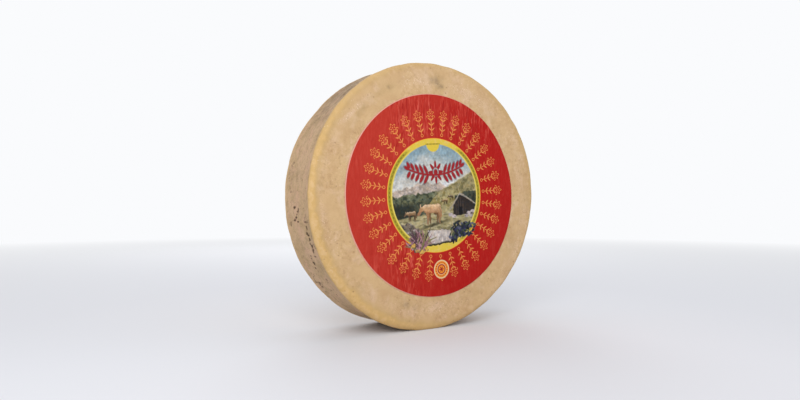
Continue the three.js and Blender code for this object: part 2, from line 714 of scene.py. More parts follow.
    def rise(self, points: Array, covered: Array) -> Array:
        """Sums the rind's heights above its plain shape.

        Broad waves run everywhere. Under the label the middling lumps are pressed down to a quarter and the
        small ones are pressed flat.

        Args:
            points: Places on the plain shape, with the axis at the origin.
            covered: How far each place is under the label, 0 to 1.

        Returns:
            Heights in metres.
        """
        broad = 0.8 * MM * self.broad.at(points)
        middle = 0.55 * MM * self.middle.at(points) * (1 - 0.75 * covered)
        small = 0.14 * MM * self.small.at(points) * (1 - covered)
        return broad + middle + small

    def angles(self, points: Array) -> Array:
        """Gives the places' angles round the axis in degrees, from the wheel's right side upwards."""
        return np.degrees(np.arctan2(points[:, 2], points[:, 0]))

    def sag(self, points: Array, distance: Array) -> Array:
        """Sums the shallow dents of the back ridge, each a bell round its own angle.

        Args:
            points: Places on the plain shape, with the axis at the origin.
            distance: Their distances from the axis.

        Returns:
            Depths in metres.
        """
        angle = self.angles(points)
        behind = ramp(points[:, 1], -0.01, 0.035) * ramp(distance, 0.18, 0.196)
        bells = (dent.deep * np.exp(-(((angle - dent.angle) / dent.wide) ** 2)) for dent in self.dents)
        return behind * sum(bells)

    def cracks(self, points: Array, heel: Array) -> Array:
        """Finds the crusty pits and cracks of the heel.

        Pits lie in a few broken runs, fine cracks join them where a lumpy field crosses zero close by, and
        small round dips are scattered along the whole heel.

        Args:
            points: Places on the plain shape, with the axis at the origin.
            heel: How far each place is on the heel, 0 to 1.

        Returns:
            Depth of the crust, 0 to 1.
        """
        angle, along = self.angles(points), points[:, 1]
        line = ramp(np.abs(Lumps(51, 0.009, 3).at(points)), 0.11, 0.02)
        depth = 0.5 * line * ramp(Lumps(67, 0.03, 2).at(points), 0.25, 0.5)
        for seed, run in enumerate(self.crust):
            pits = run.depths(angle, along, self.radius, seed)
            middle, half = (run.start + run.end) / 2, (run.end - run.start) / 2
            gap = turn_between(angle, middle)
            close = np.exp(-((gap / half) ** 4) - ((along - run.along) / (run.spread + 2 * MM)) ** 2)
            depth = np.maximum(depth, np.maximum(pits, 0.45 * run.depth * line * close))
        random = np.random.default_rng(5)
        for _ in range(self.stray_dips):
            turn = random.uniform(-180, 180)
            dip = CrustRun(turn, turn, random.uniform(-0.033, 0.033), 0.0, 1)
            depth = np.maximum(depth, random.uniform(0.2, 0.6) * dip.depths(angle, along, self.radius, 0))
        return depth * heel

    def patches(self, points: Array, spots: Sequence[Patch], seed: int) -> Array:
        """Sums soft patches, each a bell across its angle and its distance from the axis.

        Args:
            points: Places on the plain shape, with the axis at the origin.
            spots: The patches.
            seed: Seed of the lumps that break the patches up.

        Returns:
            Strength of the patches, 0 to 1.
        """
        angle = self.angles(points)
        distance = np.hypot(points[:, 0], points[:, 2])
        total = np.zeros(len(points))
        for spot in spots:
            gap = turn_between(angle, spot.angle) / spot.wide
            away = (distance - spot.out) / spot.deep
            total += spot.strength * np.exp(-(gap**2) - away**2)
        return np.clip(total * (0.75 + 0.6 * Lumps(seed, 0.008, 2).at(points)), 0, 1)

    def rubbed_and_highlit_edge(self, points: Array, distance: Array) -> Array:
        """Finds the yellow band round both edges, wide on the face and narrow on the heel: partly wear from
        rubbing and partly painted highlight, stronger on the left side and on the front edge, where the
        light falls.

        Args:
            points: Places on the plain shape, with the axis at the origin.
            distance: Their distances from the axis.

        Returns:
            How far each place is on the band, 0 to 1.
        """
        turn = np.arctan2(points[:, 2], points[:, 0])
        low_left = ramp(np.cos(turn - math.radians(232)), 0.3, 0.9)
        up_left = ramp(np.cos(turn - math.radians(135)), 0.75, 1.0)
        left = ramp(np.cos(turn - math.radians(205)), 0.2, 0.95)
        front = ramp(points[:, 1], 0.01, -0.01)
        wide = low_left + up_left
        outwards = distance + 4 * MM * Lumps(79, 0.012, 3).at(points)
        on_face = ramp(outwards, 0.188 - 0.007 * wide, 0.1975 - 0.002 * wide)
        inwards = np.abs(points[:, 1]) + 2.6 * MM * Lumps(83, 0.008, 2).at(points)
        on_heel = ramp(inwards, self.half - 12 * MM, self.half - 3 * MM)
        # Painted highlight: the band is made stronger on the left side and on the front edge, where the
        # light falls.
        return on_face * on_heel * (0.58 + 0.42 * left) * (0.5 + 0.5 * front)

    def build(self) -> bpy.types.Object:
        """Builds the rind as one closed surface, which is the plain shape moved outwards by its heights.

        Returns:
            The wheel's piece.
        """
        plain, normal, rows = self.plain_shape()
        distance = np.hypot(plain[:, 0], plain[:, 2])
        front = plain[:, 1] < 0
        ridge = self.half - self.edge_along_axis
        heel = ramp(np.abs(plain[:, 1]), ridge + 0.5 * MM, ridge - 3 * MM)
        edge = self.rubbed_and_highlit_edge(plain, distance)
        pits = self.cracks(plain, heel)
        knocks = edge * ramp(Lumps(77, 0.026, 2).at(plain), 0.1, 0.7)
        tuck = 0.7 * MM * ramp(distance, 0.148, 0.142) * front
        height = self.rise(plain, self.under_label(distance) * front)
        height -= 1.0 * MM * pits + 1.2 * MM * knocks + tuck + self.sag(plain, distance)
        points = plain + normal * height[:, None]
        points[:, 2] = np.maximum(points[:, 2], -self.axis_height) + self.axis_height
        # The heel's patches are smudges, and one faint painted shade low on the left near the foot; the
        # face's are smudges.
        grime_and_shade = heel * self.patches(plain, self.heel_spots, 95)
        grime_and_shade += (1 - heel) * self.patches(plain, self.smudge_spots, 91)
        frost = self.patches(plain, self.frost_spots, 93)
        marks = {"heel": heel, "edge": edge, "pits": pits, "grime_and_shade": grime_and_shade, "frost": frost}
        piece = put_mesh("cheese_rind", points, self.faces(rows), marks)
        piece.data.materials.append(self.finish.make())
        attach(piece, "root")
        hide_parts("cheese_wheel")
        return piece

    def plain_shape(self) -> tuple[Array, Array, int]:
        """Turns the section round the axis, and swells it by an oval and three lobes.

        The swell is a cosine of twice the angle and one of three times the angle.

        Returns:
            Places with the axis at the origin, the directions outwards there, both ending with the two
            poles, and the number of rows between the poles.
        """
        radius, along, out, axial = (values[:, None] for values in self.rows())
        angle = (np.arange(self.around) * TAU / self.around)[None, :]
        oval = self.oval_swell * np.cos(2 * (angle - self.oval_angle))
        lobes = self.lobe_swell * np.cos(3 * (angle - self.lobe_angle))
        reach = radius * (1 + (oval + lobes) / self.radius)
        along, axial = np.broadcast_to(along, reach.shape), np.broadcast_to(axial, reach.shape)
        plain = np.stack([reach * np.cos(angle), along, reach * np.sin(angle)], axis=-1)
        normal = np.stack([out * np.cos(angle), axial, out * np.sin(angle)], axis=-1)
        plain = np.concatenate([plain.reshape(-1, 3), [[0, -self.half, 0], [0, self.half, 0]]])
        normal = np.concatenate([normal.reshape(-1, 3), [[0, -1, 0], [0, 1, 0]]])
        return plain, normal, len(reach)

    def faces(self, rows: int) -> Array:
        """Joins neighbouring rows and columns into quads, and the end rows to their poles.

        Args:
            rows: Number of rows between the poles.

        Returns:
            Four vertex numbers for each face, facing outwards.
        """
        here = np.arange(self.around)
        after = np.roll(here, -1)
        start = (np.arange(rows - 1) * self.around)[:, None]
        below = start + self.around
        quads = np.stack([start + here, below + here, below + after, start + after], axis=-1)
        first, last = rows * self.around, rows * self.around + 1
        end = (rows - 1) * self.around
        front = np.stack([np.full(self.around, first), here, after, after], axis=-1)
        back = np.stack([end + here, np.full(self.around, last), end + after, end + after], axis=-1)
        return np.concatenate([quads.reshape(-1, 4), front, back])


# --- the label's artwork, in millimetres from the picture's middle --------------------------------


def blob(
    right: Array, up: Array, x: float, y: float, wide: float, high: float, turn: float = 0.0
) -> Array:
    """Gives the rough distance to an ellipse, negative inside.

    The place is moved and turned into the ellipse's own axes and divided by them. Its length less 1, times
    the shorter half axis, is the distance.

    Args:
        right: Places across.
        up: Places upwards.
        x: The ellipse's middle, across.
        y: The ellipse's middle, upwards.
        wide: Half its width.
        high: Half its height.
        turn: Its turn in degrees, counter-clockwise.

    Returns:
        One distance for each place.
    """
    cosine, sine = math.cos(math.radians(turn)), math.sin(math.radians(turn))
    along = ((right - x) * cosine + (up - y) * sine) / wide
    across = ((up - y) * cosine - (right - x) * sine) / high
    return (np.hypot(along, across) - 1) * min(wide, high)


def limb(right: Array, up: Array, route: Sequence[tuple[float, float]], thick: float, tip: float) -> Array:
    """Gives the distance to a tapering line, negative inside.

    Each straight run's nearest point is the place's share of the way along it, held between 0 and 1.

    Args:
        right: Places across.
        up: Places upwards.
        route: The points that the line goes through.
        thick: Half its width at its start.
        tip: Half its width at its end.

    Returns:
        One distance for each place.
    """
    nearest = np.full(right.shape, 1e3)
    count = len(route) - 1
    for index, ((x0, y0), (x1, y1)) in enumerate(zip(route, route[1:])):
        run = np.array([x1 - x0, y1 - y0])
        share = np.clip(((right - x0) * run[0] + (up - y0) * run[1]) / (run @ run), 0, 1)
        width = thick + (tip - thick) * (index + share) / count
        away = np.hypot(right - x0 - share * run[0], up - y0 - share * run[1])
        nearest = np.minimum(nearest, away - width)
    return nearest


def panel(right: Array, up: Array, corners: Sequence[tuple[float, float]]) -> Array:
    """Gives the distance to a convex outline, which is the largest distance past any of its sides.

    Args:
        right: Places across.
        up: Places upwards.
        corners: The outline's corners, counter-clockwise.

    Returns:
        One distance for each place, negative inside.
    """
    furthest = np.full(right.shape, -1e3)
    for (x0, y0), (x1, y1) in zip(corners, [*corners[1:], corners[0]]):
        long = math.hypot(x1 - x0, y1 - y0)
        furthest = np.maximum(furthest, ((right - x0) * (y1 - y0) - (up - y0) * (x1 - x0)) / long)
    return furthest


@dataclass
class Picture:
    """A pasture under mountains, painted in layers from the sky forwards with a ragged brush."""

    true_right: Array
    true_up: Array
    rim: float = 76.5
    brush: float = 1.0
    places: Array = field(init=False)
    right: Array = field(init=False)
    up: Array = field(init=False)
    colour: Array = field(init=False)

    def __post_init__(self) -> None:
        """Bends the painted places by lumps, so that every edge is brushy, and starts a blank sheet."""
        self.places = np.stack([self.true_right, self.true_up, np.zeros(self.true_right.shape)], axis=-1)
        self.right = self.true_right + self.brush * self.lumps(1, 3.0, 2)
        self.up = self.true_up + self.brush * self.lumps(2, 3.0, 2)
        self.colour = np.full(self.places.shape, 200.0)

    def lay(self, cover: Array, colour: Sequence[float]) -> None:
        """Paints one display colour over the layers below, as far as it covers them."""
        self.colour += cover[..., None] * (np.array(colour, float) - self.colour)

    def dab(self, area: Array, seed: int, size: float, low: float, colour: Sequence[float]) -> None:
        """Dabs one display colour over an area, where a lumpy field is over low."""
        self.lay(area * ramp(self.lumps(seed, size, 3), low, low + 0.35), colour)

    def lumps(self, seed: int, size: float, octaves: int = 1, drawn: Sequence[float] = (1, 1, 1)) -> Array:
        """Gives smooth random numbers over the picture, with its axes multiplied by drawn."""
        return Lumps(seed, size, octaves).at(self.places * np.array(drawn))

    def paint(self) -> None:
        """Paints every layer, the furthest first, and then the grain of the old print over them."""
        self.sky()
        self.mountains()
        self.slopes()
        self.meadow()
        self.hut()
        self.cow(-9.5, -20.0, 1.0, (206, 164, 122), (150, 108, 76))
        self.cow(-46.0, -24.0, 0.5, (158, 124, 88), (88, 68, 50))
        self.cow(15.5, -9.0, 0.27, (112, 88, 58), (74, 58, 40))
        self.cow(27.0, -3.5, 0.25, (104, 84, 58), (70, 56, 40))
        self.stream()
        grain = 0.11 * self.lumps(51, 1.9, 2) + 0.12 * self.lumps(53, 4.5, 2)
        self.colour *= (0.97 + grain)[..., None]
        self.colour += 6 * self.lumps(55, 2.4)[..., None] * np.array([1.0, 0.2, -0.8])

    def sky(self) -> None:
        """Blends dull blue above into warm white near the mountains, with soft drawn-out clouds."""
        self.lay(np.ones_like(self.up), (202, 198, 190))
        self.lay(ramp(self.up, 16, 66), (168, 180, 180))
        corners = self.up + 0.45 * np.abs(self.right + 4) - 0.12 * self.right
        self.lay(ramp(corners, 48, 80) * 0.7, (120, 150, 166))
        self.lay(ramp(self.lumps(3, 22, 3, (0.6, 1.2, 1)), 0.0, 0.5) * 0.7, (200, 200, 196))
        self.lay(ramp(blob(self.right, self.up, 17, 13, 17, 6, 14), 3, -3) * 0.8, (222, 224, 228))
        self.lay(ramp(blob(self.right, self.up, 40, 42, 14, 6, 30), 3, -3) * 0.4, (170, 192, 206))

    def mountains(self) -> None:
        """Raises far ragged peaks with rosy snow and grey-green shade."""
        ragged = 4.0 * self.lumps(8, 10, 4, (1, 0, 1))
        rises = ((-66, 12), (-52, 17), (-34, 19), (-14, 21), (2, 19), (20, 10))
        peaks = np.maximum.reduce([high - 0.5 * np.abs(self.right - x) for x, high in rises])
        body = ramp(self.up, peaks + ragged + 0.7, peaks + ragged - 0.7)
        self.lay(body, (192, 174, 160))
        self.dab(body * 0.8, 12, 7, -0.15, (148, 138, 128))
        self.dab(body * 0.6, 13, 4, 0.1, (216, 200, 190))
        self.lay(body * ramp(self.up, 5, -4) * 0.6, (146, 146, 124))

    def slopes(self) -> None:
        """Lays the near slopes: woods on the left, a tall pasture on the right and woods under it."""
        crest = np.where(self.right > 0, 4 + 0.36 * self.right + 0.0006 * self.right**2, -40)
        hill = ramp(self.up, crest + 0.7, crest - 0.7)
        self.lay(hill, (152, 141, 100))
        self.dab(hill * 0.8, 17, 5, -0.05, (112, 104, 66))
        self.dab(hill * 0.6, 18, 6, 0.15, (184, 166, 126))
        self.lay(ramp(np.abs(self.up - crest), 1.8, 0.4) * 0.6 * ramp(self.right, 6, 20), (206, 196, 166))
        treetops = 2.6 * self.lumps(21, 4, 3, (1, 0, 1))
        top = 2.0 + 0.05 * (self.right + 76) + treetops
        woods = ramp(self.up, top + 0.6, top - 0.6) * ramp(self.right, 8, -4)
        self.lay(woods, (100, 104, 80))
        self.dab(woods * 0.85, 22, 5, -0.15, (54, 60, 46))
        self.dab(woods * 0.7, 23, 6, 0.1, (142, 140, 112))
        self.lay(woods * ramp(self.up, -6, -14) * ramp(self.right, -18, -52) * 0.8, (36, 40, 36))
        self.lay(woods * ramp(self.up, -1, -7) * ramp(self.right, -34, -14) * 0.6, (46, 54, 44))
        mound = ramp(blob(self.right, self.up, 18, -26, 40, 31, 24), 0.6, -0.6)
        self.lay(mound, (168, 156, 112))
        self.dab(mound * 0.8, 25, 5, -0.1, (128, 116, 68))
        self.dab(mound * 0.5, 27, 4, 0.15, (194, 180, 140))
        ragged = 2 * self.lumps(26, 5, 2)
        right_woods = ramp(blob(self.right, self.up, 70, -12, 34, 14, -8) + ragged, 0.8, -0.8)
        self.lay(right_woods, (64, 70, 58))
        self.dab(right_woods * 0.8, 28, 4, 0.0, (36, 42, 36))

    def meadow(self) -> None:
        """Lays the near grass, with lighter and darker drawn-out tufts and small stones on its left."""
        edge = -27 + 0.05 * self.right + 2.5 * self.lumps(31, 12, 2, (1, 0, 1))
        grass = ramp(self.up, edge + 0.8, edge - 0.8)
        self.lay(grass, (160, 150, 110))
        self.lay(grass * ramp(self.lumps(33, 6, 3, (0.5, 1.8, 1)), -0.1, 0.4) * 0.8, (188, 176, 140))
        self.lay(grass * ramp(self.lumps(35, 4, 3, (0.5, 1.6, 1)), 0.0, 0.4) * 0.8, (108, 102, 72))
        stones = ramp(blob(self.right, self.up, -53, -47, 20, 9, -18) + 4 * self.lumps(36, 5, 3), 1, -1)
        self.lay(stones * 0.85, (108, 98, 90))
        self.dab(stones * 0.8, 38, 3, 0.05, (172, 160, 160))
        self.dab(stones * 0.7, 39, 3, 0.15, (54, 48, 48))
        self.lay(ramp(blob(self.right, self.up, -6, -43, 24, 2.2, 10), 1.5, -1.5) * 0.75, (62, 56, 38))

    def hut(self) -> None:
        """Puts a dark timber hut with a pale roof edge at the right, on pale stones."""
        right, up = self.right + 2.5, self.up + 2
        sides = [(32, -31), (74, -31), (74, -13), (48, 0), (33, -14)]
        self.lay(ramp(panel(right, up, sides), 0.5, -0.5), (46, 40, 38))
        boards = ramp(np.abs(np.mod(right, 4.5) - 2.2), 0.9, 0.4)
        front = ramp(panel(right, up, [(38, -30), (56, -30), (56, -13), (47, -5), (38, -13)]), 0.4, -0.4)
        self.lay(front * boards * 0.6, (92, 78, 70))
        door = ramp(panel(right, up, [(43, -30), (50, -30), (50, -18), (43, -18)]), 0.4, -0.4)
        self.lay(front * door, (24, 22, 24))
        for route in ([(27, -21), (38, -8), (47, 2)], [(47, 2), (60, -5), (76, -16)]):
            self.lay(ramp(limb(right, up, route, 1.3, 1.0), 0.4, -0.4), (162, 152, 138))
        stones = ((27, -29, 4), (33, -32, 4.5), (62, -29, 4), (70, -27, 5), (57, -33, 4), (66, -33, 3.5))
        for x, y, wide in stones:
            stone = ramp(blob(right, up, x, y, wide, 2.6), 0.5, -0.5)
            self.lay(stone, (184, 172, 172))
            self.dab(stone * 0.8, 40, 2.5, 0.0, (110, 98, 104))

    def cow(self, x: float, y: float, size: float, coat: Sequence[float], shade: Sequence[float]) -> None:
        """Stands a cow on the grass, seen from the side with its head low to the left.

        Args:
            x: Middle of its body, across.
            y: Middle of its body, upwards.
            size: Its size as a share of the large one's.
            coat: Display colour of its coat.
            shade: Display colour of its shaded side.
        """
        right, up = (self.right - x) / size, (self.up - y) / size
        hips = blob(right, up, 10.5, 3.6, 5.0, 3.8)
        trunk = np.minimum(limb(right, up, [(-9, 1.0), (9, 0.8)], 5.8, 6.4), hips)
        neck = limb(right, up, [(-11.5, 3.0), (-18.5, 1.0)], 4.2, 2.9)
        muzzle = blob(right, up, -24.4, -6.0, 2.2, 1.8)
        head = np.minimum(limb(right, up, [(-19.5, 0.4), (-24.0, -5.4)], 3.0, 2.0), muzzle)
        horn = limb(right, up, [(-18.8, 2.6), (-20.8, 5.2), (-19.6, 7.6)], 0.9, 0.4)
        ear = blob(right, up, -15.4, 3.4, 3.0, 1.1, 25)
        tail = limb(right, up, [(15.2, 4.6), (16.5, -3), (15.9, -12)], 0.5, 1.3)
        near_legs = ([(12, -2), (13.4, -11), (12.4, -21)], [(-8.6, -3), (-8.2, -12), (-9.0, -21)])
        far_legs = ([(9, -4), (9.8, -12), (8.4, -20)], [(-5.4, -4), (-4.4, -12), (-4.0, -20)])
        udder = blob(right, up, 6.2, -6.8, 2.6, 1.7)
        far = np.minimum.reduce([*(limb(right, up, route, 2.0, 0.7) for route in far_legs), udder])
        near = np.minimum.reduce([*(limb(right, up, route, 2.7, 0.8) for route in near_legs), trunk, neck])
        near = np.minimum.reduce([near, head, horn, ear, tail])
        soft = 0.4 / size
        self.lay(ramp(np.minimum(near, far), 1.1, 0.0) * 0.55, (66, 56, 40))
        self.lay(ramp(far, soft, -soft), np.array(shade) * 0.8)
        cover = ramp(near, soft, -soft)
        self.lay(cover, coat)
        self.lay(cover * np.clip(ramp(up, 0.5, -6.5) * 0.8 + ramp(right, -15, -21) * 0.5, 0, 0.9), shade)
        self.dab(cover * 0.35, 41, 4, -0.1, shade)
        self.lay(cover * ramp(up, 2.0, 5.5) * 0.7, (230, 200, 164))

    def stream(self) -> None:
        """Brings a pale stream down the middle, with dark wet edges and ripples."""
        right, up = self.right, self.up
        water = panel(right, up, [(-11, -80), (28, -80), (21, -53), (-20, -50), (-19, -60)])
        water = water + 1.4 * self.lumps(44, 6, 2)
        self.lay(ramp(water, 2.0, 0.2) * 0.6, (92, 84, 62))
        self.lay(ramp(water, 0.5, -0.5), (196, 184, 176))
        flow = ramp(water, -0.5, -2.5)
        self.lay(flow * ramp(self.lumps(45, 3, 2, (1.6, 0.5, 1)), 0.0, 0.4) * 0.6, (164, 154, 150))
        self.lay(flow * ramp(self.lumps(46, 3, 2, (1.6, 0.5, 1)), 0.15, 0.5) * 0.6, (220, 212, 204))

    def thistles(self) -> Array:
        """Paints a dense tuft of rosy thistles at the lower left, over the picture's rim.

        Returns:
            The distance to the tuft.
        """
        reach = blob(self.right, self.up, -38, -67, 15, 13, 20) + 3.5 * self.lumps(47, 5, 2)
        self.lay(ramp(reach, 0.5, -0.5), (92, 72, 66))
        random = np.random.default_rng(9)
        rosy = ((136, 92, 108), (176, 134, 140), (84, 58, 70))
        colours = (*rosy, (118, 112, 70), (156, 110, 122), (60, 50, 46))
        for index in range(70):
            fan = math.radians(random.uniform(15, 165))
            long = random.uniform(9, 25)
            x, y = -37 + random.uniform(-12, 11), -74 + random.uniform(-5, 9)
            tip = (x + long * math.cos(fan), y + long * math.sin(fan))
            spike = limb(self.right, self.up, [(x, y), tip], 1.1, 0.45)
            self.lay(ramp(spike, 0.4, -0.4), colours[index % len(colours)])
            reach = np.minimum(reach, spike)
        for x, y, wide in ((-47, -71, 4.2), (-33, -81, 4.6), (-24, -78, 3.6), (-41, -79, 3.6)):
            petals = blob(self.right, self.up, x, y, wide, 2.6, 15) + 1.4 * self.lumps(48, 2.2)
            self.lay(ramp(petals, 0.4, -0.4), (208, 168, 84))
            self.dab(ramp(petals, 0.4, -0.4) * 0.8, 49, 2.2, 0.0, (120, 78, 72))
            reach = np.minimum(reach, petals)
        return reach

    def gentians(self) -> Array:
        """Paints dark blue bell flowers among dark leaves at the lower right, over the picture's rim.

        Returns:
            The distance to the flowers and leaves.
        """
        reach = blob(self.right, self.up, 41, -57, 16, 9, 22) + 4.5 * self.lumps(50, 6, 2)
        self.lay(ramp(reach, 0.5, -0.5), (34, 38, 38))
        random = np.random.default_rng(14)
        colours = (
            (40, 42, 66),
            (34, 44, 36),
            (56, 58, 88),
            (22, 24, 32),
            (70, 82, 60),
            (30, 32, 54),
            (84, 88, 108),
        )
        far_clumps = ((37, -46), (55, -48), (24, -63), (38, -60), (55, -62))
        clumps = (*far_clumps, (46, -53), (29, -56), (64, -53), (31, -68))
        for index in range(117):
            x, y = clumps[index % len(clumps)]
            x, y = x + random.normal(0, 3.4), y + random.normal(0, 3.0)
            wide, high = random.uniform(1.8, 3.8), random.uniform(1.0, 2.0)
            petal = blob(self.right, self.up, x, y, wide, high, random.uniform(0, 180))
            self.lay(ramp(petal, 0.4, -0.4), colours[index % len(colours)])
            reach = np.minimum(reach, petal)
        return reach

    def cover(self) -> Array:
        """Paints what stands over the rim and finds where the picture shows.

        Returns:
            The distance to the picture: a circle cut by a wavy grassy line at the bottom, and the flowers.
        """
        ground = -74.0 + 0.06 * self.right + 1.6 * self.lumps(52, 7, 2, (1, 0, 1)) - self.up
        self.lay(ramp(ground, -4.2, -1.6) * ramp(self.up, 0, -10), (54, 50, 36))
        circle = np.maximum(np.hypot(self.true_right, self.true_up) - self.rim, ground)
        return np.minimum(circle, np.minimum(self.thistles(), self.gentians()))

    def garland(self) -> Array:
        """Draws a leafy garland with a star flower in its middle, across the sky.

        Returns:
            The distance to the garland.
        """
        wide, high = (self.true_right - 2.0) / 1.04, (self.true_up - 34.5) / 1.35
        right = np.abs(wide)
        arc = 9 * (right / 50) ** 2
        shape = np.maximum(np.abs(high - arc + 3) - 0.9, right - 46)
        for index, x in enumerate((14.5, 22.0, 29.5, 37.0, 43.5)):
            base = 9 * (x / 50) ** 2 - 3
            long = 6.0 - 0.5 * index
            shape = np.minimum(shape, blob(right, high, x + 2.4, base + 5.2, long, 2.1, 58))
            shape = np.minimum(shape, blob(right, high, x + 2.6, base - 4.8, long, 2.1, -48))
        shape = np.minimum(shape, blob(right, high, 49, 6.2, 4.2, 1.8, 22))
        spin, distance = np.arctan2(high, wide), np.hypot(wide, high)
        star = (distance - 9.0 - 3.6 * np.cos(8 * spin)) * 0.8
        star = np.maximum(star, 1.0 - np.abs(distance - 4.2))
        return np.minimum(shape, star) * 1.2


# --- the label ------------------------------------------------------------------------------------


@dataclass(frozen=True)
class Sprig:
    """A leafy sprig that points away from the picture, in millimetres from the picture's middle."""

    stem_middle: float = 104.0
    stem_half: float = 11.0
    stem_line: float = 0.4
    leaves: tuple[float, ...] = (98.6, 106.1, 113.6)
    leaf_aside: float = 2.7
    leaf_half: float = 3.1
    leaf_half_width: float = 0.85
    leaf_turn: float = math.radians(52)
    flower_out: float = 122.0
    flower_heart: float = 0.9
    petals: int = 5
    petal_reach: float = 4.4
    petal_depth: float = 1.6
    petal_line: float = 0.42
    curl_out: float = 116.5
    curl_base: float = 116.0
    curl_aside: float = 5.2
    curl_radius: float = 2.2
    berry_out: float = 91.0
    berry_radius: float = 2.0
    berry_line: float = 0.45

    def distance(self, out: Signal, side: Signal) -> Signal:
        """Draws the stem, three pairs of leaves, a curl, an outlined flower and an outlined berry.

        Args:
            out: Distance from the picture's middle along the sprig.
            side: Distance to the left or right of the sprig's middle line.

        Returns:
            The distance to the sprig, negative inside its lines.
        """
        away = abs(side)
        shape = (away - self.stem_line).maths("MAXIMUM", abs(out - self.stem_middle) - self.stem_half)
        for leaf in self.leaves:
            shape = shape | self.leaf(out - leaf, away - self.leaf_aside)
        spin = side.maths("ARCTAN2", out - self.flower_out)
        middle = (out - self.flower_out).hypot(side)
        waves = (spin * self.petals).maths("COSINE") * self.petal_depth
        flower = (middle - self.petal_reach - waves) * 0.8
        curl = abs((out - self.curl_out).hypot(away - self.curl_aside) - self.curl_radius) - self.stem_line
        curl = curl.maths("MAXIMUM", self.curl_base - out)
        berry = abs((out - self.berry_out).hypot(side) - self.berry_radius) - self.berry_line
        return shape | (abs(flower) - self.petal_line) | (middle - self.flower_heart) | curl | berry

    def leaf(self, out: Signal, side: Signal) -> Signal:
        """Draws one slim leaf as an ellipse, turned away from the stem.

        Args:
            out: Distance past the leaf's middle along the sprig.
            side: Distance past the leaf's middle away from the stem.

        Returns:
            The distance to the leaf.
        """
        cosine, sine = math.cos(self.leaf_turn), math.sin(self.leaf_turn)
        along = (out * cosine + side * sine) / self.leaf_half
        across = (side * cosine - out * sine) / self.leaf_half_width
        return (along.hypot(across) - 1) * self.leaf_half_width


@dataclass(frozen=True)
class Ring:
    """The ring round the picture and the tab under it, in millimetres from the picture's middle."""

    outer: float = 85.4
    line: float = 0.8
    inner: float = 78.2
    band: float = 81.2
    band_half: float = 2.4
    band_dashes: int = 84
    dash_half: float = 0.7
    sides_up: float = -2.0
    sides_from: float = 72.0
    sides_full: float = 64.0
    tab_up: float = 77.0
    tab_top: float = 78.0
    tab_radius: float = 12.0
    row_up: float = 76.5
    row_half: float = 0.9
    row_reach: float = 13.0
    row_step: float = 2.6


@dataclass(frozen=True)
class Seal:
    """The small round seal under the picture, in millimetres."""

    down: float = 110.8
    radius: float = 14.0
    band: float = 10.2
    band_half: float = 1.9
    dots: int = 18
    dot_radius: float = 0.85
    hub: float = 7.6
    heart: float = 5.8
    leaves: int = 6
    leaf_reach: float = 3.0
    leaf_depth: float = 1.3


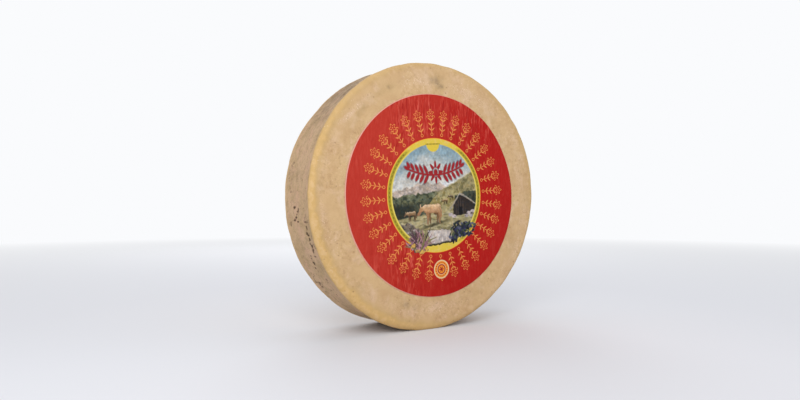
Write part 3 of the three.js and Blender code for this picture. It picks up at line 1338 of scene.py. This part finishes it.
@dataclass(frozen=True)
class PrintedPaper:
    """Red printed paper with sprigs, a ring and a seal, with painted sheen on its left and top, and painted
    highlight and shade on its crinkles.

    Args:
        right: The picture's middle across the piece, in millimetres.
        up: The picture's middle upwards, in millimetres.
        turn: The print's turn in radians, counter-clockwise.
        paper_edge: The label's radius, in millimetres.
        slots: Number of places for sprigs round the picture.
        sprig: Sizes of a sprig.
        ring: Sizes of the ring and the tab.
        seal: Sizes of the seal.
    """

    right: float
    up: float
    turn: float
    paper_edge: float
    slots: int = 32
    sprig: Sprig = Sprig()
    ring: Ring = Ring()
    seal: Seal = Seal()
    red: Colour = tint(172, 15, 8)
    # Painted sheen: the paler, hazier red laid over the left and the top of the label.
    sheen_red: Colour = tint(182, 50, 37)
    # The lighter red below marks specks of wear and is also painted highlight on the crinkles' ridges; the
    # deeper red is painted shade in their troughs.
    worn_and_sheen_red: Colour = tint(214, 92, 76)
    crease_shade_red: Colour = tint(150, 12, 12)
    gold: Colour = tint(232, 152, 78)
    paper: Colour = tint(236, 196, 176)
    yellow: Colour = tint(216, 189, 66)
    pale_yellow: Colour = tint(218, 200, 98)
    olive: Colour = tint(160, 146, 44)
    orange: Colour = tint(232, 140, 46)
    ink: Colour = tint(70, 66, 28)
    beige: Colour = tint(226, 194, 146)
    dark_red: Colour = tint(156, 34, 30)
    ruby: Colour = tint(152, 34, 38)
    outline: Colour = tint(74, 48, 60)

    def make(self) -> bpy.types.Material:
        """Prints the label, from the red ground to the picture and its garland.

        Returns:
            The label's material.
        """
        recipe = Recipe("label_paper")
        place = recipe.place()
        across, _, high = recipe.axes()
        x, z = across / MM - self.right, high / MM - self.up
        cosine, sine = math.cos(self.turn), math.sin(self.turn)
        right, up = x * cosine + z * sine, z * cosine - x * sine
        reach, angle = right.hypot(up), up.maths("ARCTAN2", right)
        fold = recipe.mark("fold")
        mottle = recipe.noise(place, 16, 4, 0.6)
        grain = recipe.noise(place, 1.4, 2, 0.6)
        crinkle = recipe.noise(recipe.stretched(place, (1.0, 1.0, 0.17)), 3.0, 2, 0.5, 1.0)
        fibres = recipe.noise(recipe.stretched(place, (1.0, 1.0, 0.4)), 2.2, 3, 0.6)
        cockled = fold * 0.9 + 0.1
        # Painted sheen: the red turns paler towards the left and the top, broken up by mottle.
        painted_sheen = (right * -0.0042 + up * 0.0016 + mottle * 0.9).above(0.12, 0.87)
        trimmed = reach.above(self.paper_edge - 0.9, self.paper_edge - 0.5)
        colour = recipe.mix(self.red, self.sheen_red, painted_sheen)
        # Painted highlight on the crinkles' ridges and painted shade in their troughs, on the same crinkles
        # as the bump; the light specks after them are wear.
        colour = recipe.mix(colour, self.worn_and_sheen_red, crinkle.above(0.52, 0.62) * cockled * 0.85)
        colour = recipe.mix(colour, self.crease_shade_red, crinkle.above(0.47, 0.36) * cockled * 0.85)
        colour = recipe.mix(colour, self.worn_and_sheen_red, grain.above(0.6, 0.8) * 0.18)
        colour = recipe.mix(colour, self.gold, self.sprigs(reach, angle, right, up) * (1.1 - grain * 0.5))
        colour = self.print_seal(recipe, colour, right, up)
        colour = self.print_ring(recipe, colour, reach, up, angle)
        colour = recipe.mix(colour, recipe.painted("picture"), recipe.mark("cover").within(0.5))
        colour = self.print_garland(recipe, colour, up)
        colour = self.print_tab(recipe, colour, right, up)
        colour = recipe.mix(colour, self.paper, trimmed * 0.6)
        rough = 0.46 + grain * 0.12 + fold * 0.14
        relief = fibres * 0.5 + mottle * 1.2 + crinkle * cockled * 3.0
        normal = recipe.bump(relief, 0.4 * MM, 0.6)
        return recipe.finish(Base_Color=colour, Roughness=rough, Normal=normal, Specular_IOR_Level=0.14)

    def sprigs(self, reach: Signal, angle: Signal, right: Signal, up: Signal) -> Signal:
        """Repeats the sprig round the picture, and leaves the seal free.

        Args:
            reach: Distance from the picture's middle.
            angle: Angle round it.
            right: Place across.
            up: Place upwards.

        Returns:
            How far each place is inside a sprig, 0 to 1.
        """
        share = (angle * (self.slots / TAU) + 0.5).maths("FRACT") - 0.5
        bend = share * (TAU / self.slots)
        sprig = self.sprig.distance(reach * bend.maths("COSINE"), reach * bend.maths("SINE"))
        free = right.hypot(up + self.seal.down).above(self.seal.radius, self.seal.radius + 0.5)
        return sprig.within(0.5) * free

    def print_seal(self, recipe: Recipe, colour: Any, right: Signal, up: Signal) -> Any:
        """Prints the seal: a pale disc, a band of dots and a rosette.

        Args:
            recipe: The label's recipe.
            colour: The colour below.
            right: Place across from the picture's middle.
            up: Place upwards from it.

        Returns:
            The colour with the seal.
        """
        seal = self.seal
        away, spin = right.hypot(up + seal.down), (up + seal.down).maths("ARCTAN2", right)
        along = abs((spin * (seal.dots / TAU)).maths("FRACT") - 0.5) * (TAU * seal.band / seal.dots)
        rosette = away - seal.leaf_reach - (spin * seal.leaves).maths("COSINE") * seal.leaf_depth
        colour = recipe.mix(colour, self.beige, (away - seal.radius).within(0.5))
        colour = recipe.mix(colour, self.orange, (abs(away - seal.band) - seal.band_half).within(0.5))
        dots = along.hypot(away - seal.band) - seal.dot_radius
        colour = recipe.mix(colour, self.dark_red, dots.within(0.5))
        colour = recipe.mix(colour, self.dark_red, (away - seal.hub).within(0.5))
        colour = recipe.mix(colour, self.orange, (away - seal.heart).within(0.5))
        return recipe.mix(colour, self.dark_red, rosette.within(0.5))

    def print_ring(self, recipe: Recipe, colour: Any, reach: Signal, up: Signal, angle: Signal) -> Any:
        """Prints the yellow ring round the picture, with an olive band of fine dashes down its sides.

        Args:
            recipe: The label's recipe.
            colour: The colour below.
            reach: Distance from the picture's middle.
            up: Place upwards from it.
            angle: Angle round it.

        Returns:
            The colour with the ring.
        """
        ring = self.ring
        wear = recipe.noise(recipe.place(), 5, 3, 0.7).above(0.48, 0.75)
        sides = abs(up - ring.sides_up).above(ring.sides_from, ring.sides_full)
        band = (abs(reach - ring.band) - ring.band_half).within(0.6) * sides
        dash = (abs((angle * (ring.band_dashes / TAU)).maths("FRACT") - 0.5) - 0.26).above(0.02, -0.02)
        dashes = dash * (abs(reach - ring.band) - ring.dash_half).within(0.5) * sides
        colour = recipe.mix(colour, self.orange, (reach - ring.outer).within(0.5))
        patchy = recipe.mix(self.yellow, self.beige, wear * 0.5)
        colour = recipe.mix(colour, patchy, (reach - (ring.outer - ring.line)).within(0.5))
        colour = recipe.mix(colour, self.olive, band)
        colour = recipe.mix(colour, self.ink, dashes * 0.6)
        return recipe.mix(colour, self.pale_yellow, (reach - ring.inner).within(0.5) * sides)

    def print_garland(self, recipe: Recipe, colour: Any, up: Signal) -> Any:
        """Prints the garland over the sky, with a dark soft outline.

        Args:
            recipe: The label's recipe.
            colour: The colour below.
            up: Place upwards from the picture's middle.

        Returns:
            The colour with the garland.
        """
        garland, over_sky = recipe.mark("garland"), up.above(5, 8)
        halo = (garland - 0.8).within(0.6) * over_sky
        colour = recipe.mix(colour, self.outline, halo * 0.65)
        return recipe.mix(colour, self.ruby, garland.within(0.4) * over_sky)

    def print_tab(self, recipe: Recipe, colour: Any, right: Signal, up: Signal) -> Any:
        """Prints the round tab that hangs from the ring into the sky, with a row of fine dashes over it.

        Args:
            recipe: The label's recipe.
            colour: The colour below.
            right: Place across from the picture's middle.
            up: Place upwards from it.

        Returns:
            The colour with the tab.
        """
        ring = self.ring
        tab = (right.hypot(up - ring.tab_up) - ring.tab_radius).maths("MAXIMUM", up - ring.tab_top)
        dash = (abs((right / ring.row_step).maths("FRACT") - 0.5) - 0.3).above(0.03, -0.03)
        row = (abs(up - ring.row_up) - ring.row_half).within(0.4)
        ends = (abs(right) - ring.row_reach).within(0.4)
        colour = recipe.mix(colour, self.yellow, tab.within(0.5))
        return recipe.mix(colour, self.ink, dash * row * ends * 0.9)


@dataclass
class PaperLabel:
    """The round label, pasted on the front face and creased where it cockled.

    Args:
        wheel: The wheel it is pasted on.
        radius: The label's radius.
        right: How far the label's middle is right of the wheel's axis.
        up: How far it is above the axis.
        picture_right: How far the printed picture's middle is right of the label's.
        turn: The print's turn, counter-clockwise.
        lift: How far the front stands off the rind.
        paste: How far the pasted side stands off the rind.
        crease: Height of the creases.
        cockle: Height of the soft cockles.
        cockle_rim: Width of the rim over which the cockles fade out.
        rings: Number of rings in the front's grid.
        picture_rings: How many of them lie inside the picture's reach.
        picture_reach: Radius inside which the rings are close together.
        back_insets: How far in from the border the pasted side's outer rings are.
        back_rings: Number of rings in the rest of the pasted side.
    """

    wheel: CheeseWheel
    radius: float = 0.151
    right: float = 1.6 * MM
    up: float = -0.3 * MM
    picture_right: float = 1.1 * MM
    turn: float = math.radians(5)
    lift: float = 0.3 * MM
    paste: float = 0.05 * MM
    crease: float = 0.45 * MM
    cockle: float = 0.12 * MM
    cockle_rim: float = 12 * MM
    rings: int = 150
    picture_rings: int = 106
    picture_reach: float = 0.09
    back_insets: tuple[float, ...] = (1.5 * MM, 4 * MM, 8 * MM)
    back_rings: int = 16

    def grid(self) -> tuple[Array, Array, Array]:
        """Spreads a square grid over the disc, ring by ring.

        The larger of a grid point's two numbers picks its ring, and the smaller one's share of it turns
        the point up to an eighth of a circle from that side's middle. Rings are closer together inside the
        picture.

        Returns:
            Places across and upwards from the label's middle, and the grid's faces.
        """
        side = np.arange(-self.rings, self.rings + 1)
        column, row = np.meshgrid(side, side, indexing="ij")
        wide = np.abs(column) > np.abs(row)
        major = np.where(wide, column, row)
        minor = np.where(wide, row, column) / np.where(major == 0, 1, major)
        turn = np.where(wide, minor * math.pi / 4, math.pi / 2 - minor * math.pi / 4)
        inner = self.picture_reach * np.abs(major) / self.picture_rings
        beyond = (np.abs(major) - self.picture_rings) / (self.rings - self.picture_rings)
        outer = self.picture_reach + (self.radius - self.picture_reach) * beyond
        distance = np.where(np.abs(major) <= self.picture_rings, inner, outer) * np.sign(major)
        number = np.arange(column.size).reshape(column.shape)
        quads = np.stack([number[:-1, :-1], number[1:, :-1], number[1:, 1:], number[:-1, 1:]], axis=-1)
        return (distance * np.cos(turn)).ravel(), (distance * np.sin(turn)).ravel(), quads.reshape(-1, 4)

    def outline(self) -> Array:
        """Lists the grid's border vertices in order, counter-clockwise as seen from the front.

        Returns:
            The vertices' numbers.
        """
        side = 2 * self.rings + 1
        number = np.arange(side * side).reshape(side, side)
        return np.concatenate([number[:-1, 0], number[-1, :-1], number[:0:-1, -1], number[0, :0:-1]])

    def folds(self, across: Array, high: Array) -> Array:
        """Gives the paper's creases, 0 to 1.

        Creases are the ridges of a lumpy field n drawn out upwards, 1 - 2.2 |n|, and stay near the top and
        at the lower left.

        Args:
            across: Places across, in metres.
            high: Places upwards, in metres.

        Returns:
            One crease height for each place.
        """
        drawn = np.stack([across, high * 0.16, np.zeros(across.shape)], axis=-1)
        ridges = np.clip(1 - np.abs(Lumps(61, 0.009, 2).at(drawn)) * 2.2, 0.25, 1)
        angle = np.degrees(np.arctan2(high, across))
        reach = np.hypot(across, high)
        top = ramp(np.abs(angle - 98), 75, 35) * ramp(reach, 0.084, 0.1)
        low_left = ramp(np.abs(np.mod(angle, 360) - 228), 42, 18) * ramp(reach, 0.086, 0.104)
        flat = np.stack([across, high, np.zeros(across.shape)], axis=-1)
        fitful = ramp(Lumps(63, 0.03, 2).at(flat), -0.6, 0.1)
        return ridges * np.maximum(top, low_left * 0.9) * fitful

    def build(self) -> bpy.types.Object:
        """Builds the label as a thin closed skin over the rind, and prints it.

        Returns:
            The label's piece.
        """
        across, high, quads = self.grid()
        front, plain = self.on_rind(across, high)
        fold = self.folds(across, high)
        slack = ramp(np.hypot(across, high), self.radius, self.radius - self.cockle_rim)
        cockle = self.cockle * Lumps(65, 0.014, 2).at(plain) * slack
        front[:, 1] -= self.lift + self.crease * fold + cockle
        border = self.outline()
        back, under = self.back(np.arctan2(high[border], across[border]), len(front))
        here = len(front) + np.arange(len(border))
        rim = np.stack([border, here, np.roll(here, -1), np.roll(border, -1)], axis=-1)
        points = np.concatenate([front, back])
        marks = self.print_marks(points, np.concatenate([fold, np.zeros(len(back))]))
        piece = put_mesh("label", points, np.concatenate([quads, rim, under]), marks)
        paper = PrintedPaper(
            right=(self.right + self.picture_right) / MM,
            up=(self.up + self.wheel.axis_height) / MM,
            turn=self.turn,
            paper_edge=self.radius / MM,
        )
        piece.data.materials.append(paper.make())
        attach(piece, "root")
        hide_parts("paper_label")
        return piece

    def on_rind(self, across: Array, high: Array) -> tuple[Array, Array]:
        """Lays places of the label on the rind's front face.

        Args:
            across: Places across from the label's middle.
            high: Places upwards from it.

        Returns:
            The places on the rind's surface as it stands, and on its plain shape with the axis at the
            origin.
        """
        wheel = self.wheel
        x, z = across + self.right, high + self.up
        plain = np.stack([x, np.full(x.shape, -wheel.half), z], axis=-1)
        rise = wheel.rise(plain, wheel.under_label(np.hypot(x, z)))
        return np.stack([x, -wheel.half - rise, z + wheel.axis_height], axis=-1), plain

    def back(self, turns: Array, start: int) -> tuple[Array, Array]:
        """Closes the label's pasted side with rings that follow the rind.

        The outer rings halve their number of points one after the other, three triangles for each point of
        the coarser ring, and the rest keep theirs down to the middle.

        Args:
            turns: Angles of the border's points, evenly spaced.
            start: Number of the first vertex.

        Returns:
            The pasted side's vertices and faces.
        """
        edges = [turns[:: 2**step] for step in range(len(self.back_insets) + 1)]
        reaches = [self.radius, *(self.radius - inset for inset in self.back_insets)]
        inner = reaches[-1] * np.arange(self.back_rings - 1, 0, -1) / self.back_rings
        rings = [*zip(reaches, edges), *((reach, edges[-1]) for reach in inner), (0.0, edges[-1][:1])]
        places = np.concatenate([np.stack([r * np.cos(t), r * np.sin(t)], axis=-1) for r, t in rings])
        faces, first = [], start
        for (_, fine), (_, coarse) in zip(rings, rings[1:]):
            here, below = np.arange(len(fine)), first + len(fine) + np.arange(len(coarse))
            along, next_below = first + np.roll(here, -1), np.roll(below, -1)
            if len(coarse) == 1:
                faces.append(np.stack([first + here, np.full(len(fine), below[0]), along, along], axis=-1))
            elif len(coarse) == len(fine):
                faces.append(np.stack([first + here, below, next_below, along], axis=-1))
            else:
                left, middle, right = first + here[::2], first + here[1::2], along[1::2]
                faces.append(np.stack([left, below, middle, middle], axis=-1))
                faces.append(np.stack([middle, below, next_below, next_below], axis=-1))
                faces.append(np.stack([middle, next_below, right, right], axis=-1))
            first += len(fine)
        pasted, _ = self.on_rind(places[:, 0], places[:, 1])
        pasted[:, 1] -= self.paste
        return pasted, np.concatenate(faces)

    def print_marks(self, points: Array, fold: Array) -> dict[str, Array]:
        """Works out the artwork at each vertex.

        Args:
            points: The label's vertices.
            fold: Their crease heights.

        Returns:
            The mesh's attributes by name.
        """
        x = (points[:, 0] - self.right - self.picture_right) / MM
        z = (points[:, 2] - self.up - self.wheel.axis_height) / MM
        cosine, sine = math.cos(self.turn), math.sin(self.turn)
        picture = Picture(x * cosine + z * sine, z * cosine - x * sine)
        picture.paint()
        cover = picture.cover()
        linear = srgb_to_linear(np.clip(picture.colour, 0, 255) / 255)
        return {"picture": linear, "cover": cover, "garland": picture.garland(), "fold": fold}


# --- the studio -----------------------------------------------------------------------------------


class Softbox(Enum):
    """The studio's soft lights: direction from the wheel, distance, size, and power in watts."""

    KEY = ((-0.8, -1.0, 0.75), 1.9, 1.5, 20.5)
    SIDE = ((1.0, -0.5, 0.45), 2.2, 1.8, 4.0)
    TOP = ((0.1, 0.2, 1.0), 2.0, 1.8, 6.0)
    BACK = ((0.4, 1.0, 0.6), 2.4, 1.6, 16.0)


@dataclass
class Studio:
    """A pale floor, soft lights, and the camera.

    Args:
        aim: The wheel's middle.
        camera_distance: Distance of the camera from it.
        camera_azimuth: The camera's turn round the wheel, from its front.
        camera_elevation: The camera's height as an angle.
        aim_left: How far the camera looks past the wheel's middle to the left, as a slope.
        aim_under: How far it looks under the middle, as a slope.
        lens: Focal length, in millimetres.
        floor_reach: Half the floor's side.
        floor_near: Distance at which the floor starts to turn into the wall.
        floor_far: Distance at which it is all wall.
        glow: Strength of the light from all around.
        floor: Colour of the floor.
        wall: Colour of the wall.
        unlit: Black.
    """

    aim: Vector
    camera_distance: float = 0.91604
    camera_azimuth: float = math.radians(-33.65)
    camera_elevation: float = math.radians(-1.58)
    aim_left: float = 0.02877
    aim_under: float = 0.00712
    lens: float = 26.448
    floor_reach: float = 9.0
    floor_near: float = 0.6
    floor_far: float = 3.2
    glow: float = 0.57
    floor: Colour = tint(222, 223, 228)
    wall: Colour = tint(250, 251, 253)
    unlit: Colour = (0.0, 0.0, 0.0, 1.0)

    def build(self) -> None:
        """Sets up the floor, the lights, the surrounding light and the camera."""
        bpy.context.scene.view_settings.view_transform = "Standard"
        self.lay_floor()
        self.surround()
        for softbox in Softbox:
            self.hang(softbox)
        self.stand_camera()

    def lay_floor(self) -> None:
        """Lays the floor, one pale sheet under the wheel."""
        corners = self.floor_reach * np.array([[-1, -1, 0], [1, -1, 0], [1, 1, 0], [-1, 1, 0]])
        piece = put_mesh("floor", corners, np.array([[0, 1, 2, 3]]), {})
        piece.data.materials.append(self.floor_paint())

    def floor_paint(self) -> bpy.types.Material:
        """Paints the floor, which turns into the evenly lit wall far from the wheel.

        Returns:
            The floor's material.
        """
        recipe = Recipe("floor_paint")
        across, along, _ = recipe.axes()
        far = across.hypot(along).above(self.floor_near, self.floor_far)
        return recipe.finish(
            Base_Color=recipe.mix(self.floor, self.unlit, far),
            Emission_Color=recipe.mix(self.unlit, self.wall, far),
            Emission_Strength=1.0,
            Roughness=0.8,
            Specular_IOR_Level=0.0,
        )

    def surround(self) -> None:
        """Fills the space around with even soft light, behind which the backdrop shows paler."""
        world = bpy.data.worlds.new("surround")
        world.use_nodes = True
        nodes = Nodes(world.node_tree)
        seen = nodes.node("ShaderNodeLightPath", {}, {}).outputs["Is Camera Ray"]
        glow = nodes.node("ShaderNodeBackground", {}, {"Color": self.wall, "Strength": self.glow})
        backdrop = nodes.node("ShaderNodeBackground", {}, {"Color": self.wall, "Strength": 1.0})
        shares = {0: seen, 1: glow.outputs[0], 2: backdrop.outputs[0]}
        either = nodes.node("ShaderNodeMixShader", {}, shares)
        nodes.node("ShaderNodeOutputWorld", {}, {"Surface": either.outputs[0]})
        bpy.context.scene.world = world

    def hang(self, softbox: Softbox) -> None:
        """Hangs one soft light and turns it to the wheel.

        Args:
            softbox: Which light.
        """
        direction, distance, size, power = softbox.value
        lamp = bpy.data.lights.new(f"softbox_{softbox.name.lower()}", "AREA")
        lamp.shape, lamp.size, lamp.energy = "DISK", size, power
        light = bpy.data.objects.new(lamp.name, lamp)
        away = Vector(direction).normalized()
        light.location = self.aim + away * distance
        light.rotation_euler = away.to_track_quat("Z", "Y").to_euler()
        bpy.context.collection.objects.link(light)

    def stand_camera(self) -> None:
        """Stands the camera at the left front, a little lower than the wheel's middle."""
        camera_data = bpy.data.cameras.new("camera")
        camera_data.lens = self.lens
        camera = bpy.data.objects.new("camera", camera_data)
        around = self.camera_azimuth
        level, rise = math.cos(self.camera_elevation), math.sin(self.camera_elevation)
        back = Vector((math.sin(around) * level, -math.cos(around) * level, rise))
        beside = Vector((self.aim_left, self.aim_under, -1)).rotation_difference(Vector((0, 0, -1)))
        camera.location = self.aim + back * self.camera_distance
        camera.rotation_mode = "QUATERNION"
        camera.rotation_quaternion = (-back).to_track_quat("-Z", "Y") @ beside
        bpy.context.collection.objects.link(camera)
        bpy.context.scene.camera = camera


def main() -> None:
    """Builds the wheel, its label and the studio in order, and reports each piece."""
    logging.basicConfig(level=logging.INFO, format="%(name)s: %(message)s")
    low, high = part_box("cheese_wheel")
    wheel = CheeseWheel(half=(high[1] - low[1]) / 2)
    for piece in (wheel.build(), PaperLabel(wheel).build()):
        LOG.info("%s: %d faces", piece.name, len(piece.data.polygons))
    Studio(Vector((0, 0, wheel.axis_height))).build()
    LOG.info("studio: floor, lights and camera")


if __name__ == "__main__":
    main()
